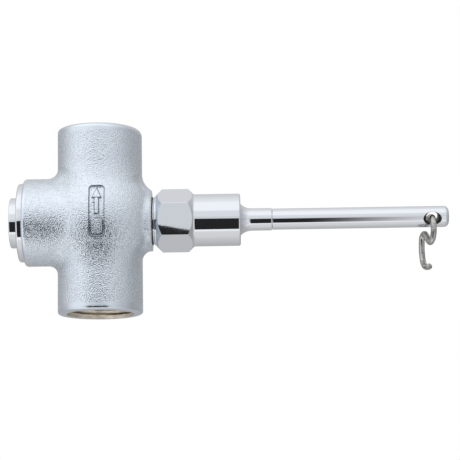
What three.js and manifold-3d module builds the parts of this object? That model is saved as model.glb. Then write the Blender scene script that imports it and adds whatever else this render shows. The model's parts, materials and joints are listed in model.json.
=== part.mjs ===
// A pull-chain shower valve: a cross-shaped brass body with two threaded ports in line, a spring-closed
// poppet across its middle, and a tilting lever in a hexagonal housing. Pulling the lever's hook down
// rocks the lever's flange, which pushes the plunger and the poppet off the seat.
//
// Millimetres. +Z is up and is the way the water flows, +X runs along the lever, and the front is -Y.
// The origin is the centre of the inlet port's mouth. Everything on the lever's axis is modelled about
// the X axis and then lifted to AXIS_HEIGHT.
import * as THREE from "three";
import { mergeVertices } from "three/addons/utils/BufferGeometryUtils.js";
import Module from "manifold-3d";

const wasm = await Module();
wasm.setup();

// ---------------------------------------------------------------- driving dimensions
const BODY_HEIGHT = 75;
const AXIS_HEIGHT = BODY_HEIGHT / 2;
const CLEAR = 0.1; // between pieces that are screwed or stacked together
const GASKET_GAP = 0.02; // on each side of a squeezed gasket

const BARREL = { radius: 17, edge: 1.3 };
const PORT = { mouth: 13.7, start: 13.2, end: 12.35, chamfer: 0.9, depth: 15.5 };
const LEFT_BOSS = { radius: 17.6, face: -30.2, chamfer: 1.3 };
const RIGHT_BOSS = { radius: 11.7, face: 21, edge: 0.6, drop: 0.4 };
const NIPPLE = { radius: 8.9, end: 32.8, bore: 6.5 };
const FILLET = { left: 4.6, lowerRight: 4.2, reach: 20.8, depth: 16.6 };
const SHOULDER = [[20.8, 11.4], [18.6, 13.6], [17.4, 16.8]]; // the steeper fillet above the right boss
const INLET_CHAMBER = { radius: 12.3, from: -21, to: -5 };
const OUTLET_CHAMBER = { radius: 9.5, from: 1, to: 13 };
const PASSAGE = { halfWidth: 8.5, inlet: [-12, -5.2], outlet: [2, 11], corner: 2.5 };
const BULGE = { along: 20.5, deep: 21.3, up: 22 }; // half sizes of the egg-shaped middle of the body
const PANEL = { middle: 1, width: 6.4, height: 21, corner: 1.6, depth: 0.55 };
const ARROW = { tip: 10.4, barb: 6.2, tail: -0.4, headWidth: 3.7, shaftWidth: 1.7 };
const PAD = { middle: -5.15, width: 4.7, height: 6.3, corner: 1.1 }; // the blank pad below the arrow
const MARK_LOW = 0.1; // how far the arrow and the pad stay below the surface round the panel

const CAP = { flange: 15.8, flangeFrom: -32.5, knob: 10.1, knobEnd: -35.9, thread: 13, inner: -21.6 };
const CAP_EDGE = { knob: 0.5, flange: 0.6 };
const CAP_UNDER = -30.6; // the underside of the flange
const CAP_POCKET = { radius: 9.6, floor: -28, hub: 4.6, hubEnd: -24.6, guide: 2.7, guideEnd: -30 };
const CAP_KEY = { acrossFlats: 10, floor: -32 };

const SEAT = { orifice: 6.4, thread: 9.4, flange: 10.8, lip: -8.1, face: -7.3, back: -5.8 };
const STEM = { radius: 2.5, left: -24, right: 12, collar: 4.6 };
const DISC = { radius: 9, from: -11.1, to: -8.2, holder: 10.2, holderFrom: -13.6, rim: -9 };

const STEM_EDGE = 0.4;
const DISC_WASHER = { radius: 5.2, thickness: 1 };
const DISC_NUT = { acrossFlats: 8, thickness: 3.2 };
const CLOSING_SPRING = { radius: 7, wire: 0.7, turns: 5 };

const GUIDE = { radius: 6.4, from: 17, flange: 8.8, flangeFrom: 33.4, flangeTo: 34.8, bore: 2.6 };
const GUIDE_GROOVE = { depth: 1.5, from: 26, to: 28.2 };
const GUIDE_RING = { middle: 5.65, section: 0.7 };
const SEAL_POCKET = { radius: 4.6, end: 23 };
const SEAL = { retainer: [17.2, 19.5], washer: [19.6, 20.4], rubber: [20.5, 22.9] };
const CUP = { radius: 7, face: 50.5, back: 48.4, hub: 3.9, hubFrom: 45.4, recess: 3.2, recessDepth: 1.5 };
const PLUNGER_COLLAR = { radius: 3.7, thickness: 1.2 };
const CUP_SCREW = { shank: 1.4, length: 5.4, slot: 0.8 };
const RETURN_SPRING = { radius: 5.6, wire: 0.55, turns: 5 };

const HOUSING = { from: 21.5, collar: 9.9, sleeve: 10.5, end: 56.5, edge: 1.2 };
const HEX = { acrossFlats: 22.2, from: 22.7, to: 37.6, clock: 6, leftChamfer: 2.5, rightChamfer: 2.1 };
const CAVITY = { thread: 9, threadEnd: 34.9, radius: 8.6, lip: 54.2, mouth: 7.4 };

const HUB = { flange: 7.9, flangeBack: 7.2, from: 50.9, shoulder: 53.3, waist: 6, radius: 4.5, end: 69.1 };
const ROD = { radius: 4.25, end: 140.2, edge: 1.9, tenon: 2.9, tenonFrom: 61.5 };
const EYE = { at: 133.4, radius: 2.6, sink: 3.7, roll: 22 };
const LEVER_WASHER = { inner: 7.3, outer: 8.2 };
const HOOK = { wire: 1.2, steps: 52, sides: 8 };

const BIG = 48; // sides of the large round pieces
const MEDIUM = 32;
const SMALL = 20;

// ---------------------------------------------------------------- materials
const metal = (color, roughness, metalness = 1) =>
  new THREE.MeshStandardMaterial({ color, roughness, metalness });
const ROUGH_CHROME = metal(0xc9cdd2, 0.42);
const BRIGHT_CHROME = metal(0xd9dce0, 0.08);
const BRASS = metal(0xb8924a, 0.35);
const STAINLESS = metal(0xb4b4b0, 0.3);
const WIRE_STEEL = metal(0xa3a29c, 0.38);
const RUBBER = metal(0x1c1c1e, 0.8, 0);
const FIBRE = metal(0x3a322c, 0.85, 0);
const NYLON = metal(0xe8e4d8, 0.5, 0);

// ---------------------------------------------------------------- solids
// A three.js geometry as a manifold-3d solid.
function solid(geometry) {
  const bare = geometry.index ? geometry.toNonIndexed() : geometry.clone();
  bare.deleteAttribute("normal");
  bare.deleteAttribute("uv");
  const merged = mergeVertices(bare, 1e-4);
  return new wasm.Manifold(
    new wasm.Mesh({
      numProp: 3,
      vertProperties: merged.attributes.position.array,
      triVerts: new Uint32Array(merged.index.array),
    }),
  );
}

// A manifold-3d solid as a three.js geometry.
function geometryOf(made) {
  const mesh = made.getMesh();
  const geometry = new THREE.BufferGeometry();
  geometry.setAttribute("position", new THREE.BufferAttribute(mesh.vertProperties, 3));
  geometry.setIndex(new THREE.BufferAttribute(mesh.triVerts, 1));
  const flat = geometry.toNonIndexed();
  flat.computeVertexNormals();
  return flat;
}

const union = (first, ...rest) => rest.reduce((all, next) => all.add(next), first);
const cut = (first, ...tools) => tools.reduce((left, tool) => left.subtract(tool), first);

// A profile of [radius, height] points turned about Y. The points run anticlockwise, up the outside.
function turned(profile, sides) {
  const points = profile.map(([radius, height]) => new THREE.Vector2(radius, height));
  return new THREE.LatheGeometry([...points, points[0].clone()], sides);
}

// Turned about X: heights become places along +X.
const alongX = (profile, sides) => solid(turned(profile, sides).rotateZ(-Math.PI / 2));
// Turned about Z: heights become places along +Z.
const alongZ = (profile, sides) => solid(turned(profile, sides).rotateX(Math.PI / 2));

const rod = (radius, from, to) => [[0, from], [radius, from], [radius, to], [0, to]];
const ring = (inner, outer, from, to) => [[inner, from], [outer, from], [outer, to], [inner, to]];

// Points of a quarter circle about [radius, height], from one angle to another, in degrees.
function arc(centre, size, fromDeg, toDeg, steps = 4) {
  return Array.from({ length: steps + 1 }, (_, i) => {
    const angle = THREE.MathUtils.degToRad(fromDeg + ((toDeg - fromDeg) * i) / steps);
    return [centre[0] + size * Math.cos(angle), centre[1] + size * Math.sin(angle)];
  });
}

// A hexagonal bar along X, turned by clock degrees from having a flat at the front.
function hexBar(acrossFlats, from, to, clock = 0) {
  const corner = acrossFlats / Math.sqrt(3);
  const bar = new THREE.CylinderGeometry(corner, corner, to - from, 6);
  bar.rotateZ(-Math.PI / 2).rotateX(THREE.MathUtils.degToRad(clock));
  return solid(bar.translate((from + to) / 2, 0, 0));
}

// A rounded rectangle in X and Y, centred on x, y.
function roundedRectangle(x, y, width, height, corner) {
  const shape = new THREE.Shape();
  const [left, right, low, high] = [x - width / 2, x + width / 2, y - height / 2, y + height / 2];
  shape.moveTo(left + corner, low);
  shape.lineTo(right - corner, low).absarc(right - corner, low + corner, corner, -Math.PI / 2, 0);
  shape.lineTo(right, high - corner).absarc(right - corner, high - corner, corner, 0, Math.PI / 2);
  shape.lineTo(left + corner, high).absarc(left + corner, high - corner, corner, Math.PI / 2, Math.PI);
  shape.lineTo(left, low + corner).absarc(left + corner, low + corner, corner, Math.PI, 1.5 * Math.PI);
  return shape;
}

// A flat shape drawn as the front view, X across and Z up, pushed from y = near back to y = far.
function frontExtrusion(shape, near, far) {
  const options = { depth: far - near, bevelEnabled: false, curveSegments: 5 };
  return solid(new THREE.ExtrudeGeometry(shape, options).rotateX(Math.PI / 2).translate(0, far, 0));
}

// A round wire along a curve. Its ends are flat.
function wireAlong(curve, radius, steps, sides) {
  const section = new THREE.Shape(
    Array.from({ length: sides }, (_, i) => {
      const angle = (2 * Math.PI * i) / sides;
      return new THREE.Vector2(radius * Math.cos(angle), radius * Math.sin(angle));
    }),
  );
  return new THREE.ExtrudeGeometry(section, { extrudePath: curve, steps, bevelEnabled: false });
}

// A compression spring's centre line about the X axis, with its first and last turns closed up.
class SpringCurve extends THREE.Curve {
  constructor(radius, wire, from, to, turns) {
    super();
    Object.assign(this, { radius, wire, from, to, turns });
  }

  getPoint(t, target = new THREE.Vector3()) {
    const closed = 1 / this.turns; // the share of the wire in each end turn
    const pitchShare = THREE.MathUtils.clamp((t - closed) / (1 - 2 * closed), 0, 1);
    const endTurns = Math.min(t, closed) + Math.max(t - 1 + closed, 0);
    const ends = endTurns * this.turns * this.wire * 2.3;
    const free = this.to - this.from - this.wire * 2 * 3.3;
    const along = this.from + this.wire + ends + pitchShare * free;
    const angle = 2 * Math.PI * this.turns * t;
    return target.set(along, this.radius * Math.cos(angle), this.radius * Math.sin(angle));
  }
}

function spring({ radius, wire, turns }, from, to) {
  return wireAlong(new SpringCurve(radius, wire, from, to, turns), wire, turns * 12, 6);
}

// ---------------------------------------------------------------- valve body
// The outline that fills the crossing's corners, seen from the front: fillets on the left and at the
// lower right, and a steeper shoulder at the upper right.
function crossingOutline() {
  const side = BARREL.radius;
  const [left, right] = [LEFT_BOSS.radius, RIGHT_BOSS.radius];
  const [corner, lowerCorner] = [FILLET.left, FILLET.lowerRight];
  const bossEnd = LEFT_BOSS.face + 2 * LEFT_BOSS.chamfer;
  const shape = new THREE.Shape();
  shape.moveTo(bossEnd, left);
  shape.lineTo(bossEnd, -left);
  shape.absarc(-side - corner, -left - corner, corner, Math.PI / 2, 0, true);
  shape.lineTo(side, -left - corner);
  shape.absarc(side + lowerCorner, -right - lowerCorner, lowerCorner, Math.PI, 2.1, true);
  shape.lineTo(RIGHT_BOSS.face - RIGHT_BOSS.edge, -right);
  for (const [x, z] of SHOULDER) shape.lineTo(x, z);
  shape.lineTo(side, left + corner);
  shape.lineTo(-side, left + corner);
  shape.absarc(-side - corner, left + corner, corner, 0, -Math.PI / 2, true);
  return shape;
}

// The fillets' solid: the outline through the body's depth, rounded to an oval both ways.
function crossingFillets() {
  const { reach, depth } = FILLET;
  const ovalUp = new THREE.CylinderGeometry(reach, reach, 3 * reach, BIG);
  ovalUp.rotateX(Math.PI / 2).scale(1, depth / reach, 1);
  const ovalAlong = new THREE.CylinderGeometry(reach, reach, 3 * reach, BIG);
  ovalAlong.rotateZ(Math.PI / 2).scale(1, depth / reach, 1);
  const block = frontExtrusion(crossingOutline(), -BARREL.radius, BARREL.radius);
  return block.intersect(solid(ovalUp)).intersect(solid(ovalAlong));
}

// The cast outside: a vertical barrel, a boss each way along the lever's axis, and the fillets between.
function bodyOutside() {
  const { radius, edge } = BARREL;
  const half = AXIS_HEIGHT;
  const barrel = alongZ(
    [
      [0, -half],
      ...arc([radius - edge, edge - half], edge, -90, 0),
      ...arc([radius - edge, half - edge], edge, 0, 90),
      [0, half],
    ],
    BIG,
  );
  const { face, chamfer } = LEFT_BOSS;
  const leftBoss = alongX(
    [
      [0, face],
      [LEFT_BOSS.radius - chamfer, face],
      [LEFT_BOSS.radius, face + chamfer],
      [LEFT_BOSS.radius, 0],
      [0, 0],
    ],
    BIG,
  );
  const rightBoss = alongX(
    [
      [0, 0],
      [RIGHT_BOSS.radius, 0],
      [RIGHT_BOSS.radius, RIGHT_BOSS.face - RIGHT_BOSS.edge],
      [RIGHT_BOSS.radius - RIGHT_BOSS.edge, RIGHT_BOSS.face],
      [0, RIGHT_BOSS.face],
    ],
    BIG,
  );
  return union(barrel, leftBoss, rightBoss.translate([0, 0, -RIGHT_BOSS.drop]), crossingFillets(), bulge(0));
}

// The body's egg-shaped middle, made smaller all round by inset.
function bulge(inset) {
  const egg = new THREE.SphereGeometry(1, BIG, BIG / 2);
  return solid(egg.scale(BULGE.along - inset, BULGE.deep - inset, BULGE.up - inset));
}

// A port's tapered thread bore, opening at the mouth, as the tool that cuts it. way is 1 up, -1 down.
function portCutter(way) {
  const mouth = AXIS_HEIGHT;
  const bore = [
    [0, mouth - PORT.depth - 2.5],
    [PORT.end - 2.4, mouth - PORT.depth - 2.5],
    [PORT.end, mouth - PORT.depth],
    [PORT.start, mouth - PORT.chamfer],
    [PORT.mouth, mouth],
    [PORT.mouth, mouth + 2],
    [0, mouth + 2],
  ];
  const cutter = alongZ(bore, BIG);
  return way > 0 ? cutter : cutter.rotate([180, 0, 0]);
}

// The slot that joins a port to its chamber. way is 1 up to the outlet, -1 down to the inlet.
function passageCutter([from, to], chamberRadius, way) {
  const shape = roundedRectangle((from + to) / 2, 0, to - from, 2 * PASSAGE.halfWidth, PASSAGE.corner);
  const depth = AXIS_HEIGHT - PORT.depth;
  const low = chamberRadius - 6;
  const options = { depth: depth - low, bevelEnabled: false, curveSegments: 3 };
  const slot = new THREE.ExtrudeGeometry(shape, options).translate(0, 0, low);
  return way > 0 ? solid(slot) : solid(slot).rotate([180, 0, 0]);
}

// The flow mark: a panel sunk in the front of the bulge, with an upward arrow and a blank pad in it.
function flowPanel() {
  const { width, height, corner, depth, middle } = PANEL;
  const front = (shape) => frontExtrusion(shape, -BULGE.deep - 1, -BARREL.radius / 2);
  const sunk = cut(front(roundedRectangle(0, middle, width, height, corner)), bulge(depth));
  const [head, shaft] = [ARROW.headWidth / 2, ARROW.shaftWidth / 2];
  const arrow = new THREE.Shape(
    [
      [0, ARROW.tip],
      [-head, ARROW.barb],
      [-shaft, ARROW.barb],
      [-shaft, ARROW.tail],
      [shaft, ARROW.tail],
      [shaft, ARROW.barb],
      [head, ARROW.barb],
    ].map(([x, z]) => new THREE.Vector2(x, z)),
  );
  const pad = roundedRectangle(0, PAD.middle, PAD.width, PAD.height, PAD.corner);
  const raised = union(front(arrow), front(pad)).intersect(bulge(MARK_LOW));
  return cut(sunk, raised);
}

function valveBody() {
  const [inlet, outlet] = [INLET_CHAMBER, OUTLET_CHAMBER];
  const nipple = alongX(rod(NIPPLE.radius, RIGHT_BOSS.face - 1, NIPPLE.end), MEDIUM);
  const capBore = alongX(rod(CAP.thread + CLEAR, LEFT_BOSS.face - 1, inlet.from), BIG);
  const inletChamber = alongX(rod(inlet.radius, inlet.from - 1, inlet.to), BIG);
  const seatBore = alongX(rod(SEAT.thread + CLEAR, inlet.to - 1, outlet.from + 1), MEDIUM);
  const outletChamber = alongX(rod(outlet.radius, outlet.from, outlet.to), MEDIUM);
  const nippleBore = alongX(rod(NIPPLE.bore, OUTLET_CHAMBER.to - 1, NIPPLE.end + 1), MEDIUM);
  return cut(
    union(bodyOutside(), nipple),
    portCutter(1),
    portCutter(-1),
    capBore,
    inletChamber,
    seatBore,
    outletChamber,
    nippleBore,
    passageCutter(PASSAGE.inlet, INLET_CHAMBER.radius, -1),
    passageCutter(PASSAGE.outlet, OUTLET_CHAMBER.radius, 1),
    flowPanel(),
  );
}

// ---------------------------------------------------------------- left end: cap, spring, poppet and seat
function endCap() {
  const { flange, flangeFrom, knob, knobEnd, thread, inner } = CAP;
  const outside = alongX(
    [
      [0, knobEnd],
      [knob - CAP_EDGE.knob, knobEnd],
      [knob, knobEnd + CAP_EDGE.knob],
      [knob, flangeFrom],
      [flange - CAP_EDGE.flange, flangeFrom],
      [flange, flangeFrom + CAP_EDGE.flange],
      [flange, CAP_UNDER],
      [thread, CAP_UNDER],
      [thread, inner],
      [0, inner],
    ],
    BIG,
  );
  const { radius, floor, hub, hubEnd, guide, guideEnd } = CAP_POCKET;
  const mouth = inner + 1;
  const pocket = alongX(
    [
      [hub, floor],
      [radius, floor],
      [radius, mouth],
      [0, mouth],
      [0, hubEnd],
      [hub, hubEnd],
    ],
    MEDIUM,
  );
  const guideBore = alongX(rod(guide, guideEnd, mouth), SMALL);
  return cut(outside, pocket, guideBore, hexBar(CAP_KEY.acrossFlats, knobEnd - 1, CAP_KEY.floor));
}

// A fibre ring squeezed between two faces, a hair clear of both.
const gasket = (inner, outer, from, to, sides) =>
  alongX(ring(inner, outer, from + GASKET_GAP, to - GASKET_GAP), sides);

const capGasket = () =>
  gasket(CAP.thread + 2 * CLEAR, CAP.flange - 0.4, CAP_UNDER, LEFT_BOSS.face, BIG);

const closingSpring = () =>
  spring(CLOSING_SPRING, CAP_POCKET.floor + CLEAR, DISC.holderFrom - CLEAR);

// The poppet's stem, guided in the cap at its left end and pushed by the plunger at its right.
function poppetStem() {
  const { radius, left, right, collar } = STEM;
  const collarFace = DISC.holderFrom - CLEAR;
  const collarBack = collarFace - 1.4;
  return alongX(
    [
      [0, left],
      [radius - STEM_EDGE, left],
      [radius, left + STEM_EDGE],
      [radius, collarBack],
      [collar, collarBack],
      [collar, collarFace],
      [radius, collarFace],
      [radius, right - STEM_EDGE],
      [radius - STEM_EDGE, right],
      [0, right],
    ],
    SMALL,
  );
}

function discHolder() {
  const bore = STEM.radius + CLEAR;
  const lip = DISC.radius + CLEAR;
  return alongX(
    [
      [bore, DISC.holderFrom],
      [DISC.holder, DISC.holderFrom],
      [DISC.holder, DISC.rim],
      [lip, DISC.rim],
      [lip, DISC.from - CLEAR],
      [bore, DISC.from - CLEAR],
    ],
    MEDIUM,
  );
}

const seatDisc = () => alongX(ring(STEM.radius + CLEAR, DISC.radius, DISC.from, DISC.to), MEDIUM);
const DISC_WASHER_FROM = DISC.to + CLEAR;
const DISC_WASHER_END = DISC_WASHER_FROM + DISC_WASHER.thickness;
const discWasher = () =>
  alongX(ring(STEM.radius + CLEAR, DISC_WASHER.radius, DISC_WASHER_FROM, DISC_WASHER_END), SMALL);

function discNut() {
  const from = DISC_WASHER_END + CLEAR;
  const end = from + DISC_NUT.thickness;
  const bore = alongX(rod(STEM.radius + CLEAR, from - 1, end + 1), SMALL);
  return cut(hexBar(DISC_NUT.acrossFlats, from, end), bore);
}

function seatRing() {
  const { orifice, thread, flange, lip, face, back } = SEAT;
  return alongX(
    [
      [orifice, lip],
      [orifice + 1, lip],
      [orifice + 1.5, face],
      [flange, face],
      [flange, back],
      [thread, back],
      [thread, OUTLET_CHAMBER.from],
      [orifice, OUTLET_CHAMBER.from],
    ],
    MEDIUM,
  );
}

const seatGasket = () =>
  gasket(SEAT.thread + 2 * CLEAR, SEAT.flange - 0.2, SEAT.back, INLET_CHAMBER.to, MEDIUM);

// ---------------------------------------------------------------- right end: plunger, its guide and seals
function plungerGuide() {
  const { radius, from, flange, flangeFrom, flangeTo, bore } = GUIDE;
  const body = alongX(
    [
      [bore, SEAL_POCKET.end],
      [SEAL_POCKET.radius, SEAL_POCKET.end],
      [SEAL_POCKET.radius, from],
      [radius, from],
      [radius, flangeFrom],
      [flange, flangeFrom],
      [flange, flangeTo],
      [bore, flangeTo],
    ],
    MEDIUM,
  );
  const groove = ring(radius - GUIDE_GROOVE.depth, radius + 1, GUIDE_GROOVE.from, GUIDE_GROOVE.to);
  return cut(body, alongX(groove, MEDIUM));
}

// The rubber ring in the guide's groove, eight-sided in section.
function guideRing() {
  const place = (GUIDE_GROOVE.from + GUIDE_GROOVE.to) / 2;
  return alongX(arc([GUIDE_RING.middle, place], GUIDE_RING.section, -180, 135, 7), MEDIUM);
}

const guideGasket = () =>
  gasket(NIPPLE.bore + CLEAR, GUIDE.flange, NIPPLE.end, GUIDE.flangeFrom, MEDIUM);

// A ring in the seal's pocket, with play round the plunger.
const sealPiece = ([from, to], play) =>
  alongX(ring(STEM.radius + play, SEAL_POCKET.radius - CLEAR, from, to), SMALL);
const plungerSeal = () => sealPiece(SEAL.rubber, 0.05);
const sealWasher = () => sealPiece(SEAL.washer, 0.2);
const sealRetainer = () => sealPiece(SEAL.retainer, 0.3);

// The rod between the cup and the poppet, with a collar behind the cup and a tapped hole for its screw.
function plunger() {
  const { radius } = STEM;
  const left = STEM.right + 0.3;
  const right = CUP.face - CUP.recessDepth;
  const collarFace = CUP.hubFrom - CLEAR;
  const collarBack = collarFace - PLUNGER_COLLAR.thickness;
  const body = alongX(
    [
      [0, left],
      [radius - STEM_EDGE, left],
      [radius, left + STEM_EDGE],
      [radius, collarBack],
      [PLUNGER_COLLAR.radius, collarBack],
      [PLUNGER_COLLAR.radius, collarFace],
      [radius, collarFace],
      [radius, right],
      [0, right],
    ],
    SMALL,
  );
  const holeEnd = right - CUP_SCREW.length - 2 * CLEAR;
  return cut(body, alongX(rod(CUP_SCREW.shank + CLEAR, holeEnd, right + 1), SMALL));
}

// The cup that the lever's flange pushes on.
function thrustCup() {
  const { radius, face, back, hub, hubFrom, recess, recessDepth } = CUP;
  const bore = STEM.radius + CLEAR;
  const edge = 0.5;
  return alongX(
    [
      [bore, hubFrom],
      [hub, hubFrom],
      [hub, back],
      [radius, back],
      [radius, face - edge],
      [radius - edge, face],
      [recess, face],
      [recess, face - recessDepth],
      [bore, face - recessDepth],
    ],
    MEDIUM,
  );
}

// The slotted screw that holds the cup on the plunger, its head sunk in the cup's recess.
function cupScrew() {
  const { shank, length, slot } = CUP_SCREW;
  const under = CUP.face - CUP.recessDepth + CLEAR;
  const top = CUP.face - 2 * CLEAR;
  const head = CUP.recess - 2 * CLEAR;
  const body = alongX(
    [
      [0, under - length],
      [shank, under - length],
      [shank, under],
      [head, under],
      [head - 0.2, top],
      [0, top],
    ],
    SMALL,
  );
  const slotDepth = 0.6;
  const slotTool = new THREE.BoxGeometry(2 * slotDepth, slot, 3 * head).translate(top, 0, 0);
  return cut(body, solid(slotTool));
}

const returnSpring = () => spring(RETURN_SPRING, GUIDE.flangeTo + CLEAR, CUP.back - CLEAR);

// ---------------------------------------------------------------- lever housing
function leverHousing() {
  const { acrossFlats, from: hexFrom, to: hexTo, clock, leftChamfer, rightChamfer } = HEX;
  const corner = acrossFlats / Math.sqrt(3);
  const chamfered = alongX(
    [
      [0, hexFrom],
      [corner - leftChamfer, hexFrom],
      [corner, hexFrom + leftChamfer],
      [corner, hexTo - rightChamfer],
      [corner - rightChamfer, hexTo],
      [0, hexTo],
    ],
    BIG,
  );
  const hex = hexBar(acrossFlats, hexFrom, hexTo, clock).intersect(chamfered);
  const { from, collar, sleeve, end, edge } = HOUSING;
  const turnedPart = alongX(
    [
      [0, from],
      [collar, from],
      [collar, hexFrom + 1],
      [sleeve, hexTo - 1],
      ...arc([sleeve - edge, end - edge], edge, 0, 90),
      [0, end],
    ],
    BIG,
  );
  const inside = alongX(
    [
      [0, from - 1],
      [CAVITY.thread, from - 1],
      [CAVITY.thread, CAVITY.threadEnd],
      [CAVITY.radius, CAVITY.threadEnd],
      [CAVITY.radius, CAVITY.lip],
      [CAVITY.mouth, CAVITY.lip],
      [CAVITY.mouth, end + 1],
      [0, end + 1],
    ],
    BIG,
  );
  return cut(union(hex, turnedPart), inside);
}

const housingGasket = () =>
  gasket(NIPPLE.radius + CLEAR, HOUSING.collar - 0.3, RIGHT_BOSS.face, HOUSING.from, BIG);

// ---------------------------------------------------------------- lever and hook
// The nylon washer that the lever's flange rocks on, under the housing's lip.
const leverWasher = () =>
  alongX(ring(LEVER_WASHER.inner, LEVER_WASHER.outer, HUB.shoulder + CLEAR, CAVITY.lip - CLEAR), MEDIUM);

function leverHub() {
  const { flange, flangeBack, from, shoulder, waist, radius, end } = HUB;
  const flareEnd = HOUSING.end + 3.4;
  const body = alongX(
    [
      [0, from],
      [flangeBack, from],
      [flange, shoulder - 0.7],
      [flange, shoulder],
      [waist + 1, shoulder],
      [waist + 0.9, HOUSING.end - 2],
      [waist, HOUSING.end],
      [waist - 0.9, HOUSING.end + 1.3],
      [radius + 0.15, flareEnd - 0.6],
      [radius, flareEnd + 0.5],
      [radius, end - 0.3],
      [radius - 0.3, end],
      [0, end],
    ],
    MEDIUM,
  );
  return cut(body, alongX(rod(ROD.tenon + CLEAR, ROD.tenonFrom - 1, end + 1), SMALL));
}

// The rod is screwed into the hub by its tenon, and its far end has a cross hole, sunk at both mouths.
function leverRod() {
  const { radius, end, edge, tenon, tenonFrom } = ROD;
  const start = HUB.end + CLEAR;
  const body = alongX(
    [
      [0, tenonFrom],
      [tenon, tenonFrom],
      [tenon, start],
      [radius - 0.3, start],
      [radius, start + 0.3],
      ...arc([radius - edge, end - edge], edge, 0, 90),
      [0, end],
    ],
    MEDIUM,
  );
  const mouth = radius + 0.4;
  const straight = mouth - (EYE.sink - EYE.radius) - 0.4;
  const hole = turned(
    [
      [0, -mouth],
      [EYE.sink + 0.4, -mouth],
      [EYE.radius, -straight],
      [EYE.radius, straight],
      [EYE.sink + 0.4, mouth],
      [0, mouth],
    ],
    SMALL,
  );
  hole.rotateX(THREE.MathUtils.degToRad(EYE.roll)).translate(EYE.at, 0, 0);
  return cut(body, solid(hole));
}

// The hook's centre line from its hidden tail, measured from the middle of the eye: over the rod's eye,
// down in front of the rod, round the lower bend, up and back over the second bend, then down and round
// the open loop.
const HOOK_ROUTE = [
  [0.1, 6.1, -2.2],
  [0.1, 5.6, -0.6],
  [0, 4.2, 0.2],
  [0, 0, -0.3],
  [0, -4, -1.5],
  [0, -5.9, -3.9],
  [0, -6.1, -7],
  [-0.4, -5, -9.8],
  [-1.1, -2.9, -10.9],
  [-1.7, -0.5, -9.7],
  [-2.2, 1.5, -7.5],
  [-2.8, 3.6, -6.4],
  [-3.5, 5.3, -7.6],
  [-3.7, 6, -10.6],
  [-3.7, 6, -14.4],
  [-3.4, 5.2, -17.9],
  [-2.7, 3.1, -20.1],
  [-1.9, 0.6, -20.5],
  [-1.4, -1.4, -19.8],
];

function chainHook() {
  const points = HOOK_ROUTE.map(([x, y, z]) => new THREE.Vector3(EYE.at + x, y, z));
  return wireAlong(new THREE.CatmullRomCurve3(points), HOOK.wire, HOOK.steps, HOOK.sides);
}

// ---------------------------------------------------------------- assembly
const PIECES = [
  ["valve_body", valveBody, ROUGH_CHROME],
  ["end_cap", endCap, BRIGHT_CHROME],
  ["end_cap_gasket", capGasket, FIBRE],
  ["closing_spring", closingSpring, STAINLESS],
  ["poppet_stem", poppetStem, STAINLESS],
  ["disc_holder", discHolder, BRASS],
  ["seat_disc", seatDisc, RUBBER],
  ["disc_washer", discWasher, STAINLESS],
  ["disc_nut", discNut, BRASS],
  ["seat_ring", seatRing, BRASS],
  ["seat_gasket", seatGasket, FIBRE],
  ["plunger_guide", plungerGuide, BRASS],
  ["guide_o_ring", guideRing, RUBBER],
  ["guide_gasket", guideGasket, FIBRE],
  ["plunger_seal", plungerSeal, RUBBER],
  ["seal_washer", sealWasher, STAINLESS],
  ["seal_retainer", sealRetainer, BRASS],
  ["plunger", plunger, STAINLESS],
  ["thrust_cup", thrustCup, BRASS],
  ["cup_screw", cupScrew, STAINLESS],
  ["return_spring", returnSpring, STAINLESS],
  ["lever_housing", leverHousing, BRIGHT_CHROME],
  ["housing_gasket", housingGasket, FIBRE],
  ["lever_washer", leverWasher, NYLON],
  ["lever_hub", leverHub, BRIGHT_CHROME],
  ["lever_rod", leverRod, BRIGHT_CHROME],
  ["chain_hook", chainHook, WIRE_STEEL],
];

const valve = new THREE.Group();
const leverAxis = new THREE.Group();
leverAxis.position.z = AXIS_HEIGHT;
valve.add(leverAxis);
for (const [name, make, material] of PIECES) {
  const made = make();
  const mesh = new THREE.Mesh(made.isBufferGeometry ? made : geometryOf(made), material);
  mesh.name = name;
  leverAxis.add(mesh);
}

export default valve;
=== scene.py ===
"""A self-closing pull-chain shower valve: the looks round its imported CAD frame.

Inside this script lengths are in millimetres along the frame's axes, and heights are measured from the
lever's axis. A mesh is turned to metres in the frame when it is made. Turned pieces are drawn as corners
[place along X, radius, rounding of that corner] about the lever's axis.
"""
import json
import math

import bmesh
import bpy
import numpy as np
from mathutils import Matrix, Vector

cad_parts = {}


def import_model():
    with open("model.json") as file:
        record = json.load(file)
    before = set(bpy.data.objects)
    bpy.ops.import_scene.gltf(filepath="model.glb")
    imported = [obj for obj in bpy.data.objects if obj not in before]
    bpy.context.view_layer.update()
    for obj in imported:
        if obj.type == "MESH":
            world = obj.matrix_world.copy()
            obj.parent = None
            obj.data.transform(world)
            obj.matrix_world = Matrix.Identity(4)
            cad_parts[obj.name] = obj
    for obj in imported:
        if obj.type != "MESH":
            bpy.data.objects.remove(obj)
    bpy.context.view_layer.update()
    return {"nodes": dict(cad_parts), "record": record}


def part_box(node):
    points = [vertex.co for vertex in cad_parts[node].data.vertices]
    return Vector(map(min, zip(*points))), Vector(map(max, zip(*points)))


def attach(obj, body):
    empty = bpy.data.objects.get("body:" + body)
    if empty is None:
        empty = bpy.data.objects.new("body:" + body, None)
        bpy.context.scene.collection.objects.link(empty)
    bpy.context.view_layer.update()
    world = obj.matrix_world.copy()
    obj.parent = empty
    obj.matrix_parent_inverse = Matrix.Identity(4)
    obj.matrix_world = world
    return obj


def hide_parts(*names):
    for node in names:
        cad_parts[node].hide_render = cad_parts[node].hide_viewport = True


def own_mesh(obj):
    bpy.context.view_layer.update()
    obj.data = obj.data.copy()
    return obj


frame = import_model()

MM = 0.001

# ---- dimensions
FINE = 192  # sides of the large turned pieces
MEDIUM = 96
ROUND_STEPS = 6  # steps in each rounded corner
CREASE = math.radians(32)  # sharper edges than this stay sharp

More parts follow.
